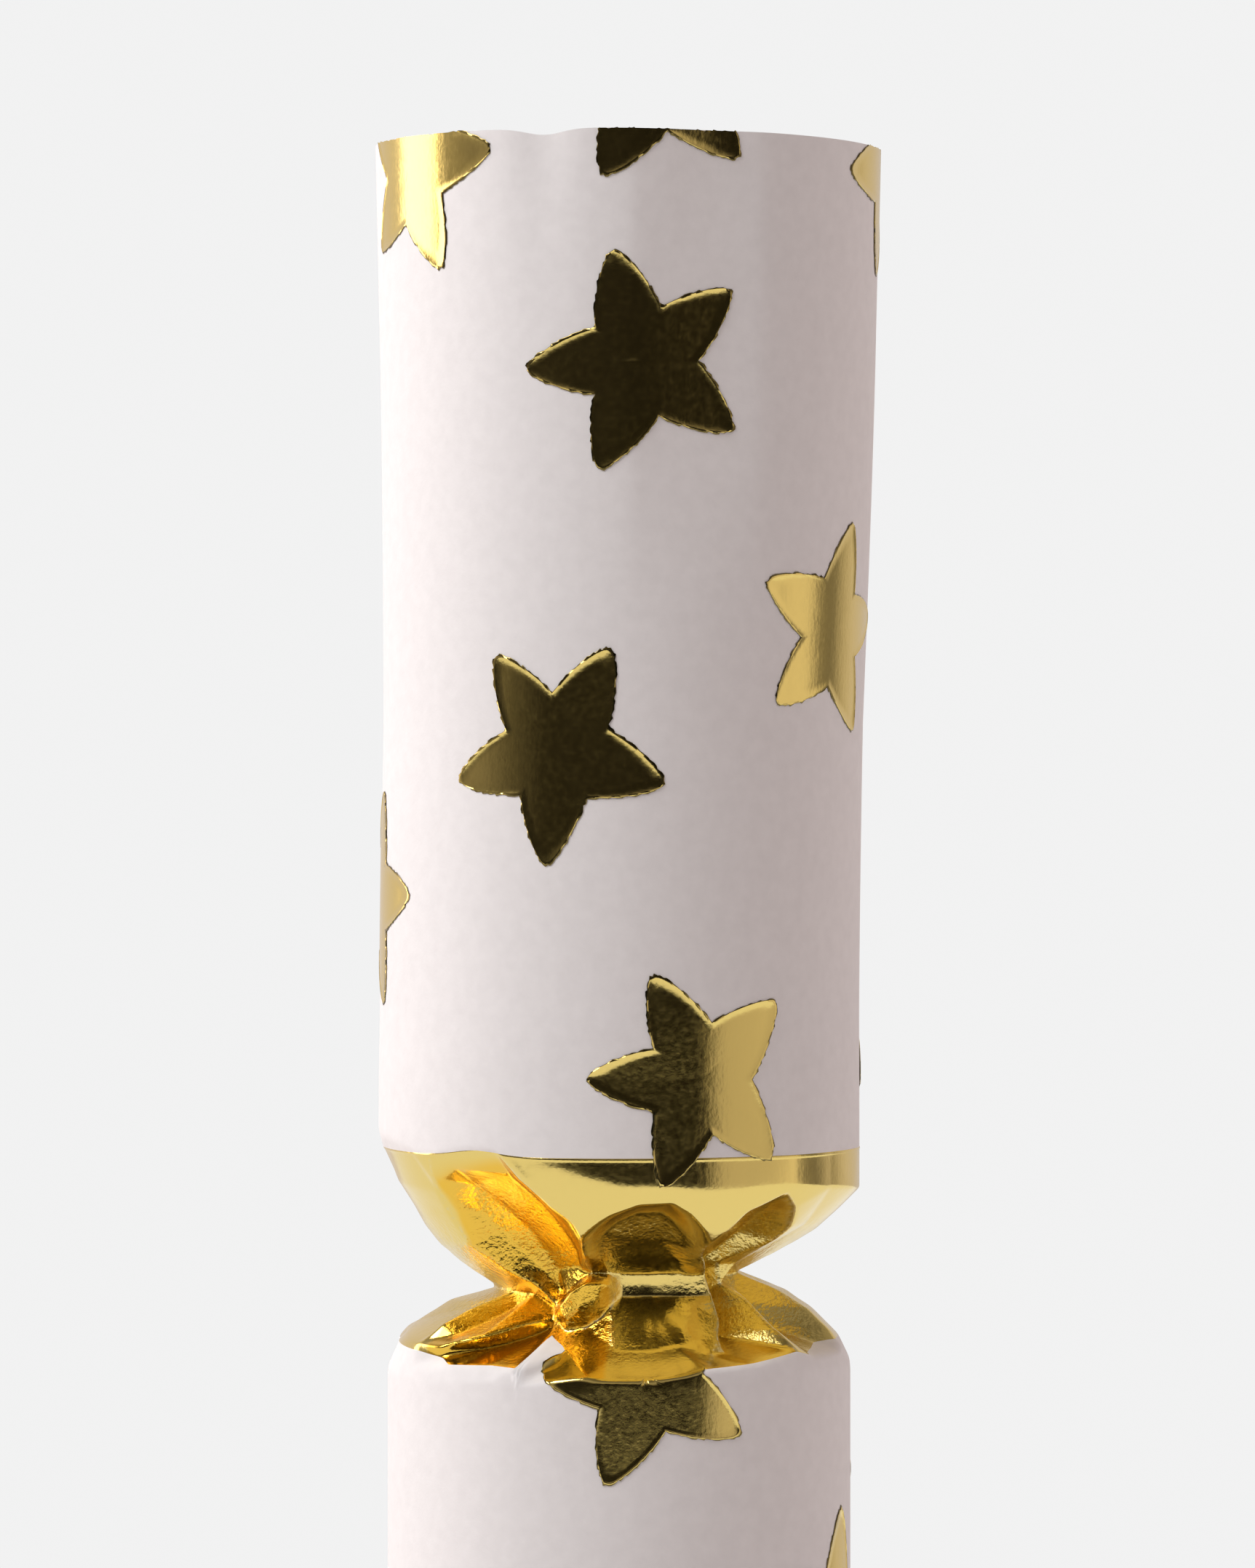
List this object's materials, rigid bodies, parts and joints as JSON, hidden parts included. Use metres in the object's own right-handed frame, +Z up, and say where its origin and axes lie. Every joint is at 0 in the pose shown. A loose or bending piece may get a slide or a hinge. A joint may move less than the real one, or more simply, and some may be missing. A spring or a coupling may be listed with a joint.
{
  "type": "christmas cracker",
  "caption": "Paper christmas cracker: card barrel and two open card-lined ends in one wrapper with gold foil stars, gathered at two gold chokes, with a snap and fillings.",
  "frame": {"origin": "centre of the lower end's rim, on the surface that the cracker stands on", "axes": "+Z up along the cracker's axis, -Y towards the viewer, +X to the viewer's right"},
  "size_m": [0.0421, 0.042, 0.305],
  "materials": {
    "wrapper_paper": "matt uncoated white paper printed with gold foil stars",
    "gold_foil": "mirror gold hot foil on paper",
    "tube_card": "plain grey-brown board",
    "snap_card": "plain thin card",
    "snap_paper": "plain paper",
    "charge_coat": "dull grey coating on card",
    "striker_coat": "gritty brown coating on card",
    "crown_tissue": "crinkled red tissue",
    "band_rubber": "matt natural rubber",
    "motto_paper": "plain thin paper",
    "disc_paint": "satin red lacquer on turned wood",
    "peg_wood": "plain turned beech"
  },
  "bodies": {
    "lower_end": {"lower_end_wrapper": "wrapper_paper", "lower_choke_end_half": "gold_foil", "lower_end_tube": "tube_card", "snap_lower_strip": "snap_card", "snap_sleeve": "snap_paper", "snap_charge": "charge_coat"},
    "barrel": {"barrel_wrapper": "wrapper_paper", "upper_choke_barrel_half": "gold_foil", "lower_choke_barrel_half": "gold_foil", "barrel_tube": "tube_card"},
    "upper_end": {"upper_end_wrapper": "wrapper_paper", "upper_choke_end_half": "gold_foil", "upper_end_tube": "tube_card", "snap_upper_strip": "snap_card", "snap_striker": "striker_coat"},
    "crown": {"paper_crown": "crown_tissue", "crown_band": "band_rubber"},
    "motto": {"motto_slip": "motto_paper"},
    "gift": {"top_disc": "disc_paint", "top_peg": "peg_wood"}
  },
  "joints": [
    {"name": "lower_tear", "type": "slide", "parent": "lower_end", "child": "barrel", "axis": [0, 0, 1], "range_m": [0, 0.11]},
    {"name": "upper_tear", "type": "slide", "parent": "barrel", "child": "upper_end", "axis": [0, 0, 1], "range_m": [0, 0.11]},
    {"name": "crown_shift", "type": "slide", "parent": "barrel", "child": "crown", "axis": [0, 0, 1], "range_m": [0, 0.025]},
    {"name": "motto_shift", "type": "slide", "parent": "barrel", "child": "motto", "axis": [0, 0, 1], "range_m": [0, 0.04]},
    {"name": "gift_shift", "type": "slide", "parent": "barrel", "child": "gift", "axis": [0, 0, 1], "range_m": [0, 0.079]}
  ]
}
